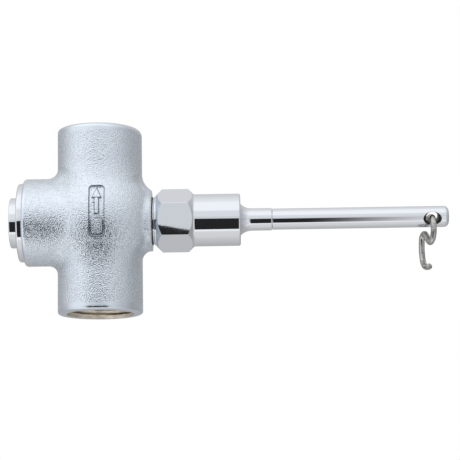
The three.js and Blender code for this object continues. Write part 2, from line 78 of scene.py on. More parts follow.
# The casting: a barrel, two bosses and an egg-shaped middle.
BARREL = 17.0
BARREL_EDGE = 1.1
WORN_EDGE = 1.6  # how much rounder the top rim is at its right end
LEFT_BOSS = 17.6
LEFT_BOSS_EDGE = 1.3
RIGHT_BOSS = 11.7
RIGHT_BOSS_EDGE = 0.5
RIGHT_DROP = 0.4  # how far its middle lies below the lever's axis
FILLET = 3.8
SHOULDER_FILLET = 8  # above the right boss
TOE_FILLET = 4  # below it
FRONT_FILLET = 10  # how much larger the fillets are at the front and the back
# The middle's half lengths to the left, to the right, to the front and up, and how much narrower it is
# halfway between front and back.
BULGE = {"left": 25.0, "right": 24.0, "deep": 21.3, "up": 23.5, "waist": 0.24, "waist_end": 13}
BULGE_FILLET = 17
GRID = 0.5  # the size of the casting's facets

# The flow mark: a sunk panel with a raised arrow over a raised blank pad. Each box is half its size.
PANEL = {"middle": 1.0, "across": 3.2, "up": 10.5, "corner": 1.6, "depth": 0.9, "wall": 0.4}
PAD = {"middle": -5.15, "across": 2.35, "up": 3.15, "corner": 1.1}
ARROW = {"tip": 10.4, "barb": 6.2, "tail": -0.4, "barb_across": 1.85, "shaft_across": 0.85, "corner": 0.2}
MARK_WALL = 0.3  # the width of the raised marks' sloping sides
MARK_GRID = 0.1  # the size of the facets there
MARK_MARGIN = 0.8  # how far round the panel the facets are small
SHADE_LINE_HALF_WIDTH = 0.34  # half the width of the painted shade line that follows each wall of the mark

# The ports: radii at the mouth, and where the tapered pipe thread starts and ends.
PIPE_PITCH = 25.4 / 14
PORT_MOUTH = 13.5
PORT_START = 13.0
PORT_END = 12.35
PORT_DEPTH = 15.5
PORT_CHAMFER = 0.9
PORT_SIDES = 144
PORT_CONE = 2.5  # how deep the cone under the thread is
PORT_BOTTOM = 9.95  # the radius where the cone ends
THREAD_DEPTH = 0.55
THREAD_RUN_IN = 0.6
THREAD_STEPS = 12  # to a turn
CLEAR = 2  # how far a cutting solid stands out of what it cuts

# The nipple, the bores and the two chambers. A span is where it starts and ends along X.
NIPPLE = {"from": 10, "radius": 8.9, "rounding": 0.5, "bore": 6.5}
CAP_BORE = {"radius": 13.1, "past_cap": 0.6}
INLET = {"span": (-22, -5), "radius": 12.3, "rounding": 1}
OUTLET = {"to": 13, "radius": 9.5, "rounding": 1.2}
# The passages from the chambers to the ports. near is where they start, measured from the lever's axis.
PASSAGE = {"half_width": 8.5, "corner": 2.5, "inlet": (-12, -5.2), "outlet": (2, 11)}
PASSAGE.update({"inlet_near": 6.3, "outlet_near": 3.5})

# The cap's radii and the places of its steps. key is the socket's width across flats, and gap and lift keep
# the flange off the gasket and off the body's face.
CAP = {
    "knob": 10.1, "flange_from": -32.5, "thread": 13, "hollow": 9.6, "hollow_from": -28,
    "guide": 4.6, "guide_end": -24.6, "bore": 2.7, "bore_from": -30, "key": 10, "key_end": -32,
    "gap": 0.02, "lift": 0.04,
}

# The housing's hexagon is turned clock degrees, so that a flat nearly faces the front.
HEX = {"across_flats": 22.2, "span": (22.7, 37.6), "clock": 6.0, "chamfers": (2.5, 2.1)}
# The housing's radii, from the left, and where the thread and the cavity inside it end.
HOUSING = {
    "undercut": 9.2, "undercut_depth": 0.4, "collar": 9.9, "root": 10.2, "sleeve": 10.5,
    "thread": 9.0, "thread_end": 34.9, "cavity": 8.6, "cavity_end": 54.2, "mouth": 7.4,
}

# The lever's root: its flange, the neck in the housing's mouth, the flare outside and the screwed socket.
HUB = {
    "flange": (52.6, 53.3), "foot": 7.2, "neck": 7.0, "neck_end": 6.9, "flare": 6.43,
    "flare_length": 1.79, "radius": 4.5, "socket": 3.0, "socket_from": 61.4,
}
ROD = {"screw": 2.9, "joint": 0.1, "tip_rounding": 1.9}
# The cross hole. It leans by roll, and each mouth is opened out by a countersink.
EYE = {"at": 133.4, "roll": math.radians(22), "radius": 2.6, "sink": 4.1, "sink_depth": 1.5, "past_rod": 0.4}
HOOK_WIRE = 1.2
HOOK_SIDES = 32
# The hook's centre line from its hidden tail, measured from the middle of the eye.
HOOK_ROUTE = [
    [-1.3, 6.1, -2.0], [-1.1, 5.6, -0.2], [-0.3, 4.3, 0.4], [0, 0, -0.2], [0, -4, -1.5],
    [0, -5.9, -3.9], [0, -6.1, -7], [-0.4, -5, -9.8], [-1.1, -2.9, -10.9],
    [-1.7, -0.5, -9.7], [-2.2, 1.5, -7.5], [-2.8, 3.6, -6.4], [-3.5, 5.3, -7.6],
    [-3.7, 6, -10.6], [-3.7, 6, -14.4], [-3.4, 5.2, -17.9], [-2.9, 3.1, -19.8],
    [-2.2, 0.8, -20.4], [-1.6, -1.2, -20.4],
]

# The domed end of a wire: its flat's share of the radius, then where it meets the side and its share there.
TIP_SHARE = 0.55
TIP_DEPTH = 0.21
TIP_SHOULDER = 0.9
OFF_AXIS = (1, 0.2, 0.1)  # a direction in which no wire starts

SPRING_TURNS = 5
SPRING_STEPS = 32  # to a turn
SPRING_SIDES = 16
CLOSED_PITCH = 2.3  # of the end turns, in wire radii
CLOSING_WIRE = 0.7
RETURN_WIRE = 0.55

# ---- looks
PLATE = (0.80, 0.87, 0.945)  # the chrome's mean colour on the casting
PLATE_LOW, PLATE_HIGH = (0.785, 0.85, 0.93, 1), (0.86, 0.925, 1.0, 1)
# painted shade: the dark plate colour along the flow mark's walls, where shade falls in the crevices
PLATE_PAINTED_SHADE = (0.24, 0.27, 0.31, 1)
GRAIN_SIZE, GRAIN_HEIGHT = 0.5, 0.28
LUMP_SIZE, LUMP_HEIGHT = 1.5, 0.05
MOTTLE_SIZE = 0.9
TURNED_RIM = (3.4, 2.6)  # the grain ends between these distances from a port's face
TURNED_EDGE = (1.7, 1.1)  # and from the left boss's face

# The studio's light by height, in degrees above the horizon, as seen in the chrome: in front, on the
# camera's side, and behind. Each row is height, brightness and warmth.
FRONT_LIGHT = [
    (-90, 0.72, 0.01), (-70, 0.72, 0.01), (-62, 0.74, 0.0), (-58, 0.95, 0.0), (-50, 0.95, 0.0),
    (-46, 0.80, -0.01), (-10, 0.78, -0.02), (-3, 0.69, -0.02), (3, 0.69, -0.02), (8, 0.79, -0.02),
    (28, 0.80, -0.02), (36, 1.0, -0.01), (71, 1.0, -0.01), (90, 0.85, 0.0),
]
BACK_LIGHT = [
    (-90, 0.67, 0.02), (-60, 0.61, 0.0), (0, 0.52, 0.0), (30, 0.73, 0.0), (90, 0.85, 0.0),
]
# How bright the walls are at each bearing in degrees, 0 to the front and 90 towards +X.
WALL_LIGHT = [
    (-180, 0.82), (-120, 0.76), (-75, 1.15), (-35, 1.18), (0, 1.0), (30, 1.0), (60, 0.7),
    (90, 0.59), (130, 0.7), (180, 0.82),
]
WALL_SCALE = 1.5

# A black card in front of the valve, as a photographer sets up to draw dark lines in chrome. Only
# reflections see it. Places along X, and heights from the lever's axis.
CARD = {"distance": 300, "left": -215, "bottom": -368, "fade_from": 95, "fade_to": 185}
CARD_TOP = [(185, -43.8), (0, -10.5), (-50, -19), (-215, -24)]  # the corners of its top edge, from the right
CARD_BLACK, CARD_FADED = 0.02, 0.75  # how bright the card is before and after its fade

CAMERA_DISTANCE = 740
CAMERA_PITCH = math.radians(10)  # it looks up at the valve
CAMERA_ROLL = math.radians(0.93)
HALF_VIEW = 92.5  # half the picture's width, measured at the valve
AIM = (52.2, 0, -4.15)
FLOOR_SIZE, FLOOR_DROP = 2500, 160  # half its width, and how far it lies below the frame's origin


# ---- places from the frame
def span(node):
    """A CAD node's lowest and highest corners in millimetres, heights measured from the lever's axis."""
    low, high = (np.array(corner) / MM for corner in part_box(node))
    return low - [0, 0, AXIS], high - [0, 0, AXIS]


def ends(node):
    """Where a turned CAD node starts and ends along X, and its largest radius."""
    low, high = span(node)
    return low[0], high[0], (high[1] - low[1]) / 2


AXIS = 0  # until the lever's own height is known
AXIS = float(sum(span("lever_rod"))[2] / 2)
BODY_LOW, BODY_HIGH = span("valve_body")
HALF_HEIGHT = (BODY_HIGH[2] - BODY_LOW[2]) / 2
BOSS_FACE = ends("housing_gasket")[0]  # where the right boss ends


# ---- meshes
def in_scene(name, data):
    """A new object, placed in the scene."""
    made = bpy.data.objects.new(name, data)
    bpy.context.scene.collection.objects.link(made)
    return made


def to_object(name, points, faces, smooth=True):
    """A mesh object from points in millimetres about the lever's axis."""
    mesh = bpy.data.meshes.new(name)
    placed = (np.asarray(points, float) + [0, 0, AXIS]) * MM
    mesh.from_pydata(placed.tolist(), [], [list(map(int, face)) for face in faces])
    mesh.update()
    made = in_scene(name, mesh)
    if smooth:
        shade(made)
    return made


def shade(piece, angle=CREASE):
    """Smooth shading, with edges sharper than the angle kept."""
    mesh = piece.data
    mesh.shade_smooth()
    mesh.set_sharp_from_angle(angle=angle)


def rounded(corners, closed):
    """The corners' outline with each corner's rounding drawn as an arc. Returns [place, radius] points."""
    outline = []
    count = len(corners)
    for index, corner in enumerate(corners):
        here = np.array(corner[:2], float)
        size = corner[2] if len(corner) > 2 else 0
        if size == 0 or (not closed and index in (0, count - 1)):
            outline.append(here)
            continue
        before = np.array(corners[index - 1][:2], float) - here
        after = np.array(corners[(index + 1) % count][:2], float) - here
        before /= np.linalg.norm(before)
        after /= np.linalg.norm(after)
        half = math.acos(np.clip(before @ after, -1, 1)) / 2
        middle = before + after
        centre = here + middle / np.linalg.norm(middle) * size / math.sin(half)
        start = here + before * size / math.tan(half) - centre
        turn = math.pi - 2 * half
        if start[0] * before[1] - start[1] * before[0] > 0:
            turn = -turn
        for step in range(ROUND_STEPS + 1):
            angle = turn * step / ROUND_STEPS
            cos, sin = math.cos(angle), math.sin(angle)
            outline.append(centre + [start[0] * cos - start[1] * sin, start[0] * sin + start[1] * cos])
    return outline


def turned(name, corners, sides=MEDIUM, upright=False, radius_at=None):
    """A solid turned about the lever's axis, or about the ports' axis if upright.

    Corners that start and end at radius 0 make a solid; others close on themselves as a ring. radius_at, if
    given, takes place, radius and angle, and returns the radius there, for threads.
    """
    closed = corners[0][1] > 0 or corners[-1][1] > 0
    outline = rounded(corners, closed)
    angles = np.linspace(0, 2 * math.pi, sides, endpoint=False)
    points, rings = [], []
    for place, radius in outline:
        if radius < 1e-6:
            rings.append([len(points)])
            points.append(on_axis(place, 0, 0, upright))
            continue
        rings.append(list(range(len(points), len(points) + sides)))
        for angle in angles:
            size = radius_at(place, radius, angle) if radius_at else radius
            points.append(on_axis(place, size, angle, upright))
    pairs = list(zip(rings, rings[1:]))
    if closed:
        pairs.append((rings[-1], rings[0]))
    faces = []
    for first, second in pairs:
        for k in range(sides):
            following = (k + 1) % sides
            corner = [first[k % len(first)], first[following % len(first)]]
            corner += [second[following % len(second)], second[k % len(second)]]
            faces.append(list(dict.fromkeys(corner)))
    made = to_object(name, points, [face for face in faces if len(face) > 2])
    face_outwards(made)
    return made


def on_axis(place, radius, angle, upright):
    """The point at a place along the turning axis, a radius and an angle."""
    across, up = radius * math.cos(angle), radius * math.sin(angle)
    return [across, up, place] if upright else [place, across, up]


def face_outwards(piece):
    """Turns the faces out. The meshes are closed, so their signed volume says which way they face."""
    work = bmesh.new()
    work.from_mesh(piece.data)
    bmesh.ops.recalc_face_normals(work, faces=work.faces)
    if work.calc_volume(signed=True) < 0:
        bmesh.ops.reverse_faces(work, faces=work.faces)
    work.to_mesh(piece.data)
    work.free()


def bake(piece):
    """Makes the piece's modifiers part of its mesh."""
    bpy.context.view_layer.update()
    evaluated = piece.evaluated_get(bpy.context.evaluated_depsgraph_get())
    mesh = bpy.data.meshes.new_from_object(evaluated)
    piece.modifiers.clear()
    old = piece.data
    piece.data = mesh
    mesh.name = old.name
    bpy.data.meshes.remove(old)


def combine(piece, *tools, how="DIFFERENCE"):
    """Cuts the tools from the piece, or joins them to it, and uses them up."""
    for tool in tools:
        change = piece.modifiers.new("combine", "BOOLEAN")
        change.operation = how
        change.object = tool
        change.solver = "MANIFOLD"
        change.material_mode = "TRANSFER"
        bake(piece)
        bpy.data.objects.remove(tool)
    shade(piece)
    return piece


def join(piece, *tools):
    """Makes the tools part of the piece."""
    return combine(piece, *tools, how="UNION")


def flatten_normals(piece):
    """Lets the large faces set the shading, so that flats and cylinders reflect cleanly to their edges."""
    change = piece.modifiers.new("normals", "WEIGHTED_NORMAL")
    change.mode = "FACE_AREA"
    change.weight = 100
    change.keep_sharp = True
    bake(piece)
    return piece


def prism(name, first, second):
    """A closed solid between two outlines with the same number of points."""
    count = len(first)
    faces = [list(range(count)), list(range(2 * count - 1, count - 1, -1))]
    faces += [[k, (k + 1) % count, count + (k + 1) % count, count + k] for k in range(count)]
    made = to_object(name, first + second, faces)
    face_outwards(made)
    return made


def hexagon(name, across_flats, start, end, clock, rounding=0.25):
    """A hexagonal bar along X with its long edges rounded, its flat turned clock degrees from the front."""
    corner = across_flats / math.sqrt(3)
    inset = rounding / math.cos(math.radians(30))
    section = []
    for side in range(6):
        middle = math.radians(60 * side + 90 + clock)
        for step in range(ROUND_STEPS + 1):
            lean = math.radians(60 * step / ROUND_STEPS - 30)
            section.append(
                [
                    (corner - inset) * math.cos(middle) + rounding * math.cos(middle + lean),
                    (corner - inset) * math.sin(middle) + rounding * math.sin(middle + lean),
                ]
            )
    return prism(name, *([[x, y, z] for y, z in section] for x in (start, end)))


def swept(name, centres, radius, sides):
    """A round wire along the centres, with slightly domed ends. Its UVs run along and round the wire."""
    centres = np.array(centres, float)
    tangents = np.gradient(centres, axis=0)
    tangents /= np.linalg.norm(tangents, axis=1)[:, None]
    last = len(centres) - 1
    # each ring: which centre, how far it is moved along the wire, and its share of the radius
    dome = [(0, TIP_SHARE), (TIP_DEPTH, TIP_SHOULDER)]
    steps = [(0, shift, share) for shift, share in dome]
    steps += [(index, 0, 1) for index in range(1, last)]
    steps += [(last, -shift, share) for shift, share in reversed(dome)]
    angles = np.linspace(0, 2 * math.pi, sides, endpoint=False)[:, None]
    across = np.cross(tangents[0], OFF_AXIS)
    middles, rings = [], []
    for index, shift, share in steps:
        tangent = tangents[index]
        across = across - tangent * (across @ tangent)
        across /= np.linalg.norm(across)
        other = np.cross(tangent, across)
        middles.append(centres[index] + tangent * shift)
        rings.append(middles[-1] + radius * share * (np.cos(angles) * across + np.sin(angles) * other))
    count = len(rings)
    faces = [list(range(sides))[::-1], [(count - 1) * sides + k for k in range(sides)]]
    for ring in range(count - 1):
        for k in range(sides):
            first, second = ring * sides + k, ring * sides + (k + 1) % sides
            faces.append([first, second, second + sides, first + sides])
    made = to_object(name, np.concatenate(rings), faces)
    lengths = np.linalg.norm(np.diff(middles, axis=0), axis=1)
    unwrap_wire(made.data, np.concatenate([[0], np.cumsum(lengths)]), sides)
    face_outwards(made)
    shade(made)
    return made


def unwrap_wire(mesh, along, sides):
    """UVs for a wire: U is the length along it in millimetres, V runs once round it."""
    layer = mesh.uv_layers.new(name="wire")
    for face in mesh.polygons:
        turns = {mesh.loops[loop].vertex_index % sides for loop in face.loop_indices}
        crosses_seam = turns >= {0, sides - 1} and len(face.vertices) == 4
        for loop in face.loop_indices:
            ring, turn = divmod(mesh.loops[loop].vertex_index, sides)
            if crosses_seam and turn == 0:
                turn = sides
            layer.data[loop].uv = (along[ring], turn / sides)


# ---- the cast body
def distance_to_body(x, y, z):
    """Signed distance in millimetres to the casting's outside, negative within."""
    merged = with_bulge(x, y, z)
    worn = WORN_EDGE * np.clip(x / BARREL * 0.5 + 0.5, 0, 1) * (z > 0)
    merged = round_intersection(merged, np.abs(z) - HALF_HEIGHT, BARREL_EDGE + worn)
    merged = round_intersection(merged, BODY_LOW[0] - x, LEFT_BOSS_EDGE)
    return round_intersection(merged, x - BOSS_FACE, RIGHT_BOSS_EDGE)


def crossing(x, y, z):
    """The barrel and the two bosses. Their fillets grow towards the front and the back."""
    growth = FRONT_FILLET * np.minimum((y / BARREL) ** 2, 1)
    left = with_boss(x, y, z, LEFT_BOSS, FILLET + growth)
    lift = np.clip(z / RIGHT_BOSS * 0.5 + 0.5, 0, 1)
    toe = TOE_FILLET + (SHOULDER_FILLET - TOE_FILLET) * lift
    right = with_boss(-x, y, z + RIGHT_DROP, RIGHT_BOSS, toe + growth)
    return np.minimum(left, right)


def with_boss(x, y, z, radius, fillet):
    """The barrel and a boss on its -X side."""
    barrel_reach, boss_reach = np.hypot(x, y) + 1e-9, np.hypot(y, z) + 1e-9
    barrel = barrel_reach - BARREL
    facing = y * y / (barrel_reach * boss_reach)
    return np.where(x < 0, filleted(barrel, boss_reach - radius, facing, fillet), barrel)


def with_bulge(x, y, z):
    """The crossing and the egg-shaped middle of the body."""
    places = np.stack([x, y, z], axis=-1)
    narrowing = 1 - BULGE["waist"] * (1 - smooth_step(np.abs(y) / BULGE["waist_end"]))
    along = np.where(x < 0, BULGE["left"], BULGE["right"]) * narrowing
    halves = np.stack([along, np.full_like(along, BULGE["deep"]), BULGE["up"] * narrowing], axis=-1)
    shares = np.linalg.norm(places / halves, axis=-1) + 1e-9
    slope = places / halves**2
    steepness = np.linalg.norm(slope, axis=-1) + 1e-9
    bulge = shares * (shares - 1) / steepness
    base = crossing(x, y, z)
    gap = 0.05
    rises = [crossing(x + gap, y, z), crossing(x, y + gap, z), crossing(x, y, z + gap)]
    base_slope = np.stack([rise - base for rise in rises], axis=-1)
    base_slope /= np.linalg.norm(base_slope, axis=-1)[..., None] + 1e-9
    facing = np.sum(base_slope * slope, axis=-1) / steepness
    return filleted(base, bulge, facing, BULGE_FILLET)


def filleted(a, b, facing, fillet):
    """Two shapes joined by a fillet, a rolling ball's track. facing is the cosine between their slopes."""
    facing = np.clip(facing, -1, 1)
    into_a, into_b = fillet - a, fillet - b
    sine = np.sqrt(np.maximum(1 - facing**2, 1e-6))
    in_crease = (into_a > 0) & (into_b > 0) & (into_a * facing < into_b) & (into_b * facing < into_a)
    square = into_a**2 + into_b**2 - 2 * into_a * into_b * facing
    crease = fillet - np.sqrt(np.maximum(square, 0)) / sine
    return np.where(in_crease, crease, np.minimum(a, b))


def smooth_step(share):
    """0 below 0, 1 above 1 and smooth between."""
    t = np.clip(share, 0, 1)
    return t * t * (3 - 2 * t)


def round_intersection(a, b, radius):
    """What two shapes share, the edge between them rounded."""
    outer = np.hypot(np.maximum(radius + a, 0), np.maximum(radius + b, 0))
    return np.minimum(-radius, np.maximum(a, b)) + outer


def surface_of(distance, low, high, step):
    """Points and quads on the surface where the distance is 0, one point in each grid cell it crosses."""
    axes = [np.arange(low[k] - 2 * step, high[k] + 3 * step, step) for k in range(3)]
    grid = distance(*np.meshgrid(*axes, indexing="ij"))
    inside = grid < 0
    shape = np.array(grid.shape) - 1
    total = np.zeros((*shape, 3))
    hits = np.zeros(shape)
    corners = [(i, j, k) for i in (0, 1) for j in (0, 1) for k in (0, 1)]
    for axis in range(3):
        for corner in (c for c in corners if c[axis] == 0):
            window = tuple(slice(corner[k], corner[k] + shape[k]) for k in range(3))
            beyond = list(window)
            beyond[axis] = slice(1, 1 + shape[axis])
            a, b = grid[window], grid[tuple(beyond)]
            crossed = inside[window] != inside[tuple(beyond)]
            share = np.where(crossed, a / np.where(a == b, 1, a - b), 0)
            for k in range(3):
                total[..., k] += crossed * (share if k == axis else corner[k])
            hits += crossed
    cells = np.argwhere(hits > 0)
    number = np.full(shape, -1)
    number[tuple(cells.T)] = np.arange(len(cells))
    points = cells + total[tuple(cells.T)] / hits[tuple(cells.T)][:, None]
    points = points * step + [axis[0] for axis in axes]
    faces = []
    for axis in range(3):
        beyond = [slice(None)] * 3
        here = [slice(None)] * 3
        beyond[axis], here[axis] = slice(1, None), slice(None, -1)
        crossed = np.argwhere(inside[tuple(here)] != inside[tuple(beyond)])
        first, second = [k for k in range(3) if k != axis]
        crossed = crossed[(crossed[:, first] > 0) & (crossed[:, second] > 0)]
        quad = []
        for a, b in ((0, 0), (1, 0), (1, 1), (0, 1)):
            cell = crossed.copy()
            cell[:, first] -= a
            cell[:, second] -= b
            quad.append(number[tuple(cell.T)])
        faces.append(np.stack(quad, axis=1))
    return points, np.concatenate(faces)


def slope_of(distance, points, gap=0.02):
    """The unit direction in which the distance grows at each point."""
    slope = np.stack(
        [
            distance(*(points + gap * direction).T) - distance(*(points - gap * direction).T)
            for direction in np.eye(3)
        ],
        axis=1,
    )
    return slope / np.linalg.norm(slope, axis=1)[:, None]


def box_distance(x, z, box):
    """Signed distance in the front plane to a rectangle with rounded corners."""
    dx = np.abs(x) - box["across"] + box["corner"]
    dz = np.abs(z - box["middle"]) - box["up"] + box["corner"]
    outside = np.hypot(np.maximum(dx, 0), np.maximum(dz, 0))
    return outside + np.minimum(np.maximum(dx, dz), 0) - box["corner"]


def arrow_distance(x, z):
    """Signed distance in the front plane to the arrow, which points up."""
    shaft_box = {
        "middle": (ARROW["barb"] + ARROW["tail"]) / 2,
        "across": ARROW["shaft_across"],
        "up": (ARROW["barb"] - ARROW["tail"]) / 2,
        "corner": ARROW["corner"],
    }
    shaft = box_distance(x, z, shaft_box)
    rise = ARROW["tip"] - ARROW["barb"]
    lean = math.hypot(rise, ARROW["barb_across"])
    flank = ((z - ARROW["tip"]) * ARROW["barb_across"] + np.abs(x) * rise) / lean
    return np.minimum(shaft, np.maximum(flank, ARROW["barb"] - z))


def sunk_by(x, z):
    """How far the front is sunk at a place, for the panel and what stands in it."""
    floor = smooth_step(-box_distance(x, z, PANEL) / PANEL["wall"])
    raised = np.minimum(arrow_distance(x, z), box_distance(x, z, PAD))
    return PANEL["depth"] * floor * smooth_step(raised / MARK_WALL + 0.5)


def mark_wall_shade(x, z):
    """How near a place is to a wall of the flow mark, from 0 to 1. The plate's colour is darkened there as
    painted shade.
    """
    panel = box_distance(x, z, PANEL) + PANEL["wall"] / 2
    raised = np.minimum(arrow_distance(x, z), box_distance(x, z, PAD))
    nearest = np.minimum(np.abs(panel), np.where(panel < 0, np.abs(raised), SHADE_LINE_HALF_WIDTH))
    return smooth_step(1 - nearest / SHADE_LINE_HALF_WIDTH)


def cast_outside():
    """The casting's outside, with the flow mark pressed into its front."""
    low = [BODY_LOW[0], -BULGE["deep"] - 0.6, -HALF_HEIGHT]
    high = [BOSS_FACE, BULGE["deep"] + 0.6, HALF_HEIGHT]
    points, quads = surface_of(distance_to_body, low, high, GRID)
    for _ in range(3):
        points -= slope_of(distance_to_body, points) * distance_to_body(*points.T)[:, None]
    outside = to_object("valve_body_look", points, quads, smooth=False)
    refine_mark(outside)
    face_outwards(outside)
    return outside


def refine_mark(outside):
    """Divides the front finely where the flow mark is and sinks it there, square to the surface."""
    work = bmesh.new()
    work.from_mesh(outside.data)
    # each vertex keeps how near it is to a wall of the mark, which darkens the plate's colour there as
    # painted shade
    layer = work.verts.layers.float.new("mark_wall_shade")

    def near_mark(vertex):
        x, y, z = vertex.co / MM
        beside = abs(x) - PANEL["across"]
        above = abs(z - AXIS - PANEL["middle"]) - PANEL["up"]
        return beside < MARK_MARGIN and above < MARK_MARGIN and y < -BARREL / 2

    edges = [edge for edge in work.edges if all(near_mark(vertex) for vertex in edge.verts)]
    bmesh.ops.subdivide_edges(work, edges=edges, cuts=round(GRID / MARK_GRID) - 1, use_grid_fill=True)
    touched = [vertex for vertex in work.verts if near_mark(vertex)]
    places = np.array([vertex.co for vertex in touched]) / MM - [0, 0, AXIS]
    for _ in range(2):
        places -= slope_of(distance_to_body, places) * distance_to_body(*places.T)[:, None]
    sink = sunk_by(places[:, 0], places[:, 2])[:, None]
    places -= slope_of(distance_to_body, places) * sink
    for vertex, place, share in zip(touched, places, mark_wall_shade(places[:, 0], places[:, 2])):
        vertex.co = Vector((place + [0, 0, AXIS]) * MM)
        vertex[layer] = share
    work.to_mesh(outside.data)
    work.free()


# ---- the body's bores
def port_tool(name, way):
    """A port's threaded bore, as a cutting solid. way is 1 for the upper port, -1 for the lower one."""
    mouth = HALF_HEIGHT
    thread_from = PORT_CHAMFER / 2

    def threaded(place, radius, angle):
        depth = mouth - abs(place)
        if not thread_from < depth < PORT_DEPTH:
            return radius
        turns = depth / PIPE_PITCH + way * angle / (2 * math.pi)
        ridge = abs((turns % 1) * 2 - 1)
        run_in = min(1, (depth - thread_from) / THREAD_RUN_IN)
        return radius + THREAD_DEPTH * run_in * (ridge - 0.5)

    length = PORT_DEPTH - PORT_CHAMFER
    steps = round(length / PIPE_PITCH * THREAD_STEPS)
    shares = [k / steps for k in range(steps + 1)]
    wall = [[mouth - PORT_CHAMFER - length * t, PORT_START + (PORT_END - PORT_START) * t] for t in shares]
    bottom = mouth - PORT_DEPTH - PORT_CONE
    corners = [[mouth + CLEAR, 0], [mouth + CLEAR, PORT_MOUTH], [mouth, PORT_MOUTH], *wall]
    corners += [[bottom, PORT_BOTTOM], [bottom, 0]]
    corners = [[place * way, radius] for place, radius in corners]
    return turned(name, corners, PORT_SIDES, upright=True, radius_at=threaded)


def slot_tool(name, start, end, near, way):
    """The passage between a port and its chamber."""
    middle, half_length = (start + end) / 2, (end - start) / 2
    outline = rounded_box(middle, half_length, PASSAGE["half_width"], PASSAGE["corner"])
    return prism(name, *([[x, y, way * z] for x, y in outline] for z in (near, HALF_HEIGHT - PORT_DEPTH)))


def rounded_box(middle, half_length, half_width, corner):
    """The outline of a rectangle with rounded corners, its middle on the X axis."""
    outline = []
    for quarter, (sign_x, sign_y) in enumerate([(1, 1), (-1, 1), (-1, -1), (1, -1)]):
        for step in range(ROUND_STEPS + 1):
            angle = math.pi / 2 * (quarter + step / ROUND_STEPS)
            x = middle + sign_x * (half_length - corner) + corner * math.cos(angle)
            y = sign_y * (half_width - corner) + corner * math.sin(angle)
            outline.append([x, y])
    return outline


def bore(name, start, end, radius, end_rounding=0, sides=MEDIUM):
    """A plain bore about the lever's axis as the solid that cuts it."""
    return turned(name, [[start, 0], [start, radius], [end, radius, end_rounding], [end, 0]], sides)


def valve_body():
    """The chromed casting, with its nipple and bores in bare brass."""
    outside = cast_outside()
    outside.data.materials.append(rough_chrome())
    nipple_end = BODY_HIGH[0]
    nipple = bore("nipple", NIPPLE["from"], nipple_end, NIPPLE["radius"], NIPPLE["rounding"])
    nipple.data.materials.append(brass())
    cap_bore_end = ends("end_cap")[1] + CAP_BORE["past_cap"]
    seat_end = ends("seat_ring")[1]
    tools = [
        port_tool("upper_port", 1),
        port_tool("lower_port", -1),
        bore("cap_bore", BODY_LOW[0] - CLEAR, cap_bore_end, CAP_BORE["radius"], sides=FINE),
        bore("inlet_chamber", *INLET["span"], INLET["radius"], INLET["rounding"], sides=FINE),
        bore("seat_bore", INLET["span"][1] - 1, seat_end + 1, OUTLET["radius"]),
        bore("outlet_chamber", seat_end, OUTLET["to"], OUTLET["radius"], OUTLET["rounding"]),
        bore("nipple_bore", OUTLET["to"] - 1, nipple_end + 1, NIPPLE["bore"]),
        slot_tool("inlet_passage", *PASSAGE["inlet"], PASSAGE["inlet_near"], -1),
        slot_tool("outlet_passage", *PASSAGE["outlet"], PASSAGE["outlet_near"], 1),
    ]
    for tool in tools:
        tool.data.materials.append(brass())
    join(outside, nipple)
    combine(outside, *tools)
    return outside


# ---- end cap
def end_cap():
    """The polished cap, hollow for the closing spring, with a socket for a hexagonal key."""
    start, inner, flange = ends("end_cap")
    under = ends("end_cap_gasket")[0] - CAP["gap"]
    seat = BODY_LOW[0] - CAP["lift"]
    corners = [
        [start, 0],
        [start, CAP["knob"], 0.45],
        [CAP["flange_from"], CAP["knob"], 0.25],
        [CAP["flange_from"], flange, 0.75],
        [seat, flange, 0.1],
        [seat, flange - 0.3],
        [under, flange - 0.35],
        [under, CAP["thread"], 0.15],
        [inner, CAP["thread"], 0.6],
        [inner, CAP["hollow"], 0.3],
        [CAP["hollow_from"], CAP["hollow"], 0.5],
        [CAP["hollow_from"], CAP["guide"], 0.3],
        [CAP["guide_end"], CAP["guide"], 0.3],
        [CAP["guide_end"], CAP["bore"], 0.2],
        [CAP["bore_from"], CAP["bore"]],
        [CAP["bore_from"], 0],
    ]
    cap = turned("end_cap_look", corners, FINE)
    cap.data.materials.append(bright_chrome())
    key = hexagon("key", CAP["key"], start - 1, CAP["key_end"], 0)
    key.data.materials.append(bright_chrome())
    return flatten_normals(combine(cap, key))


# ---- housing
def lever_housing():
    """The polished hexagon and sleeve, hollow for the lever's flange."""
    start, end, _ = ends("lever_housing")
    hex_start, hex_end = HEX["span"]
    bar = hexagon("lever_housing_look", HEX["across_flats"], hex_start, hex_end, HEX["clock"])
    combine(bar, hex_chamfers(hex_start, hex_end), how="INTERSECT")
    undercut = start + HOUSING["undercut_depth"]
    sleeve = HOUSING["sleeve"]
    outside = [
        [start, 0],
        [start, HOUSING["undercut"]],
        [undercut, HOUSING["undercut"], 0.1],
        [undercut, HOUSING["collar"], 0.3],
        [hex_start + 1, HOUSING["collar"]],
        [hex_start + 1, HOUSING["root"]],
        [hex_end - 1, HOUSING["root"]],
        [hex_end - 1, sleeve + 0.2],
        [hex_end, sleeve + 0.2],
        [hex_end + 0.5, sleeve, 0.8],
        [end, sleeve, 0.75],
        [end, 0],
    ]
    join(bar, turned("sleeve", outside, FINE))
    inside = [
        [start - 1, 0],
        [start - 1, HOUSING["thread"]],
        [HOUSING["thread_end"], HOUSING["thread"]],
        [HOUSING["thread_end"], HOUSING["cavity"]],
        [HOUSING["cavity_end"], HOUSING["cavity"]],
        [HOUSING["cavity_end"], HOUSING["mouth"], 0.2],
        [end - 0.3, HOUSING["mouth"]],
        [end + 0.2, HOUSING["mouth"] + 0.5],
        [end + 0.2, 0],
    ]
    combine(bar, turned("cavity", inside, FINE))
    bar.data.materials.clear()
    bar.data.materials.append(bright_chrome())
    return flatten_normals(bar)


